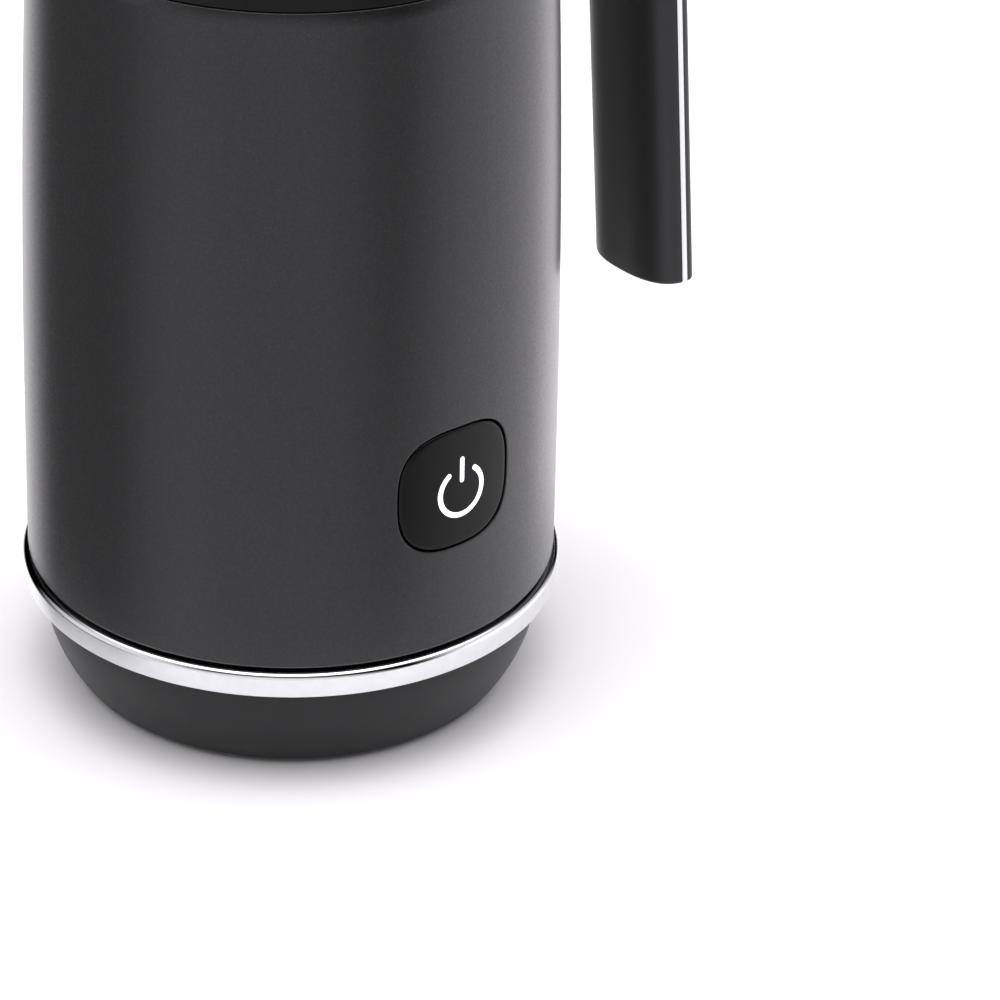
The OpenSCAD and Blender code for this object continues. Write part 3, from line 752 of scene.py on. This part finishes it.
def grip_way():
    """Stations along the handle's centre line from its lower end: place, outward direction, inset."""
    top = Vector((GRIP_X - math.tan(GRIP_LEAN) * (GRIP_BEND_Z - GRIP_Z0), 0, GRIP_BEND_Z))
    centre = top - GRIP_BEND_R * Vector((math.cos(GRIP_LEAN), 0, math.sin(GRIP_LEAN)))
    end_r = 1.0
    stations = []
    for k in range(9):
        turn = math.radians(90 * k / 8)
        stations.append((GRIP_Z0 + end_r * (1 - math.cos(turn)), end_r * (1 - math.sin(turn))))
    stations += [(GRIP_Z0 + end_r + (GRIP_BEND_Z - GRIP_Z0 - end_r) * k / 24, 0.0) for k in range(1, 25)]
    way = []
    for z, inset in stations:
        rise = (z - GRIP_Z0) / (GRIP_BEND_Z - GRIP_Z0)
        lean = GRIP_LEAN * max(0.0, min(1.0, rise * 2 - 1))
        x = GRIP_X - math.tan(GRIP_LEAN) * (z - GRIP_Z0)
        way.append((Vector((x, 0, z)), Vector((math.cos(lean), 0, math.sin(lean))), inset))
    for k in range(1, 25):
        turn = GRIP_LEAN + (math.pi / 2 - GRIP_LEAN) * k / 24
        out = Vector((math.cos(turn), 0, math.sin(turn)))
        way.append((centre + GRIP_BEND_R * out, out, 0.0))
    last = way[-1][0]
    for k in range(1, 7):
        way.append((last + Vector((48.6 - last.x, 0, 0)) * k / 6, Vector((0, 0, 1)), 0.0))
    return way


def grip_section(start, end, grow, inset):
    """The outline of one layer of the handle, as (outward, sideways) points."""
    bow = 0.8
    deep_in, deep_out = GRIP_IN + grow - inset, GRIP_OUT + grow - inset
    half_w = GRIP_HALF_W + grow - inset

    def side(u):
        deep = deep_in if u < 0 else deep_out
        share = min(1.0, abs(u) / deep)
        return half_w * (1 - share ** (2 / bow)) ** (bow / 2)

    low = max(start, -deep_in)
    high = min(end, deep_out)
    steps = 28
    points = []
    for k in range(steps + 1):
        t = k / steps
        if start < -deep_in:
            u = high + (low - high) * math.sin(t * math.pi / 2)
        elif end > deep_out:
            u = low + (high - low) * math.sin(t * math.pi / 2)
        else:
            u = low + (high - low) * t
        points.append((u, side(u)))
    back = [(u, -v) for u, v in reversed(points)]
    if start < -deep_in or end > deep_out:
        back = back[1:]
    return points + back


def handle_layer(node, start, end, grow, edge, finish=None):
    """One layer of the handle, swept along its way, with softened edges."""
    verts, rows = [], []
    for here, out, inset in grip_way():
        section = grip_section(start, end, grow, inset)
        rows.append(list(range(len(verts), len(verts) + len(section))))
        for u, v in section:
            verts.append(here + out * u + Vector((0, v, 0)))
    faces = []
    for row, after in zip(rows, rows[1:]):
        for k in range(len(row)):
            n = (k + 1) % len(row)
            faces.append([row[k], row[n], after[n], after[k]])
    faces.append(rows[0])
    faces.append(rows[-1])
    layer = piece(node, verts, faces, sharp=35, material=finish)
    if edge:
        soften = layer.modifiers.new("soft_edges", "BEVEL")
        soften.width = edge * MM
        soften.segments = 3
        soften.limit_method = "ANGLE"
        soften.angle_limit = math.radians(50)
    return layer


def handle():
    """The inner grip shell, the bright strip and the outer cap."""
    # The grip shell and the outer cap take the lighter black, with painted light.
    handle_layer("handle_inner", -20, STRIP_FROM, 0.0, 0.25, FINISH["grip"])
    handle_layer("handle_strip", STRIP_FROM, STRIP_TO, 0.12, 0.12)
    handle_layer("handle_outer", STRIP_TO, 20, 0.0, 0.25, FINISH["grip"])


# ---- the whisk ----

def whisk_coil():
    """A spring of fine wire wound round a ring."""
    low, high = span("whisk_coil")
    minor = (high.z - low.z) / 2
    major = high.x - minor
    centre_z = (low.z + high.z) / 2
    wire = 0.42
    turns = 64
    per_turn = 14
    around = 8
    count = turns * per_turn
    verts, faces = [], []
    for i in range(count):
        along = 2 * math.pi * i / count
        wind = along * turns
        out = Vector((math.cos(along), math.sin(along), 0))
        tangent = Vector((-math.sin(along), math.cos(along), 0))
        arm = out * math.cos(wind) + Vector((0, 0, math.sin(wind)))
        spot = out * major + Vector((0, 0, centre_z)) + arm * (minor - wire)
        swing = (-out * math.sin(wind) + Vector((0, 0, math.cos(wind)))) * (minor - wire) * turns
        ahead = (tangent * major + swing).normalized()
        across = ahead.cross(arm).normalized()
        for k in range(around):
            a = 2 * math.pi * k / around
            verts.append(spot + (arm * math.cos(a) + across * math.sin(a)) * wire)
    for i in range(count):
        after = (i + 1) % count
        for k in range(around):
            n = (k + 1) % around
            faces.append([i * around + k, i * around + n, after * around + n, after * around + k])
    return piece("whisk_coil", verts, faces, sharp=80)


# ---- the carried-over CAD nodes ----

def finish_cad_nodes():
    """Gives every CAD node its slot's finish and smooth shading with crisp edges."""
    for name, node in frame["nodes"].items():
        node.data.materials.clear()
        node.data.materials.append(FINISH[SLOT_OF[name]])
        smooth(node.data, 32)


# ---- studio and camera ----

def toward(azimuth, elevation):
    """The unit vector of a direction: azimuth from +X towards +Y, elevation above the floor, in degrees."""
    a, e = math.radians(azimuth), math.radians(elevation)
    return Vector((math.cos(a) * math.cos(e), math.sin(a) * math.cos(e), math.sin(e)))


# The lights: azimuth, elevation, angle of full strength, angle where it ends, strength.
# What lies below the horizon stands for the pale table and shows in reflections alone.
OVERHEAD_BOX = (0, 90, 10, 50, 4.0)
RIGHT_BOX = (-30, 22, 10, 45, 0.9)
LEFT_BOX = (150, 22, 10, 45, 0.9)
TABLE_BEHIND = (50, -27, 20, 50, 1.5)
TABLE_RIGHT = (-30, -27, 15, 55, 1.3)
TABLE_FRONT = (-140, -27, 20, 65, 1.0)
TABLE_LEFT = (150, -27, 10, 50, 0.3)
PANELS = [OVERHEAD_BOX, RIGHT_BOX, LEFT_BOX, TABLE_BEHIND, TABLE_RIGHT, TABLE_FRONT, TABLE_LEFT]
# The patch of floor that shows in reflections, in metres: its centre, where it starts to fade and its end
REFLECTED_FLOOR = Vector((0.010, -0.017, 0))
REFLECTED_FULL_R = 0.064
REFLECTED_END_R = 0.115


def studio_floor():
    """A white sweep: seen whole by the eye, and in reflections only near the object, like a small table."""
    bpy.ops.mesh.primitive_plane_add(size=14, location=(0, 0, 0))
    floor = bpy.context.object
    floor.name = "studio_floor"
    material, tree, bsdf = shader("studio_white")
    bsdf.inputs["Base Color"].default_value = (0.9, 0.9, 0.9, 1)
    bsdf.inputs["Roughness"].default_value = 0.9
    bsdf.inputs["Specular IOR Level"].default_value = 0.1
    spot = add(tree, "NewGeometry").outputs["Position"]
    away = add(tree, "VectorMath", {0: spot, 1: REFLECTED_FLOOR}, operation="DISTANCE").outputs["Value"]
    edge = {"Value": away, "From Min": REFLECTED_FULL_R, "From Max": REFLECTED_END_R}
    far = add(tree, "MapRange", edge, interpolation_type="SMOOTHSTEP")
    path = add(tree, "LightPath")
    mirrored = add(tree, "Math", {0: far.outputs[0], 1: path.outputs["Is Glossy Ray"]}, operation="MULTIPLY")
    clear = add(tree, "BsdfTransparent")
    mix = add(tree, "MixShader", {0: mirrored.outputs[0], 1: bsdf.outputs[0], 2: clear.outputs[0]})
    tree.links.new(mix.outputs[0], tree.nodes["Material Output"].inputs["Surface"])
    floor.data.materials.append(material)


def studio_light():
    """Soft panels of light in a dark surround, and plain white behind everything."""
    world = bpy.data.worlds.new("studio_world")
    world.use_nodes = True
    tree = world.node_tree
    direction = add(tree, "TexCoord").outputs["Generated"]
    total = 0.0
    for azimuth, elevation, full, end, strength in PANELS:
        near = add(tree, "VectorMath", {0: direction, 1: toward(azimuth, elevation)}, operation="DOT_PRODUCT")
        panel = add(tree, "MapRange", {
            "Value": near.outputs["Value"], "From Min": math.cos(math.radians(end)),
            "From Max": math.cos(math.radians(full)), "To Max": strength}, interpolation_type="SMOOTHSTEP")
        total = add(tree, "Math", {0: panel.outputs[0], 1: total}, operation="ADD").outputs[0]
    seen = add(tree, "LightPath").outputs["Is Camera Ray"]
    level = add(tree, "Mix", {"Factor": seen, "A": total, "B": 1.08})
    background = tree.nodes["Background"]
    background.inputs["Color"].default_value = (1.006, 0.98, 1.018, 1)
    tree.links.new(level.outputs["Result"], background.inputs["Strength"])
    bpy.context.scene.world = world
    bpy.context.scene.view_settings.view_transform = "Standard"


CAMERA_PLACE = Vector((-0.5853, -0.7354, 0.5649))
CAMERA_TARGET = Vector((0.0312, -0.0249, 0.0334))
CAMERA_ROLL = math.radians(1.35)
CAMERA_LENS = 203.2


def camera():
    """The camera at the photograph's viewing angle."""
    data = bpy.data.cameras.new("camera")
    data.lens = CAMERA_LENS
    data.sensor_width = 36
    data.clip_start, data.clip_end = 0.05, 50
    eye = bpy.data.objects.new("camera", data)
    bpy.context.scene.collection.objects.link(eye)
    look = (CAMERA_TARGET - CAMERA_PLACE).to_track_quat("-Z", "Y").to_matrix().to_4x4()
    eye.matrix_world = Matrix.Translation(CAMERA_PLACE) @ look @ Matrix.Rotation(CAMERA_ROLL, 4, "Z")
    bpy.context.scene.camera = eye


finish_cad_nodes()
outer_shell()
power_button()
power_symbol()
base_bowl()
chrome_ring()
cord_gland()
top_collar()
inner_vessel()
lid()
handle()
whisk_coil()
studio_floor()
studio_light()
camera()
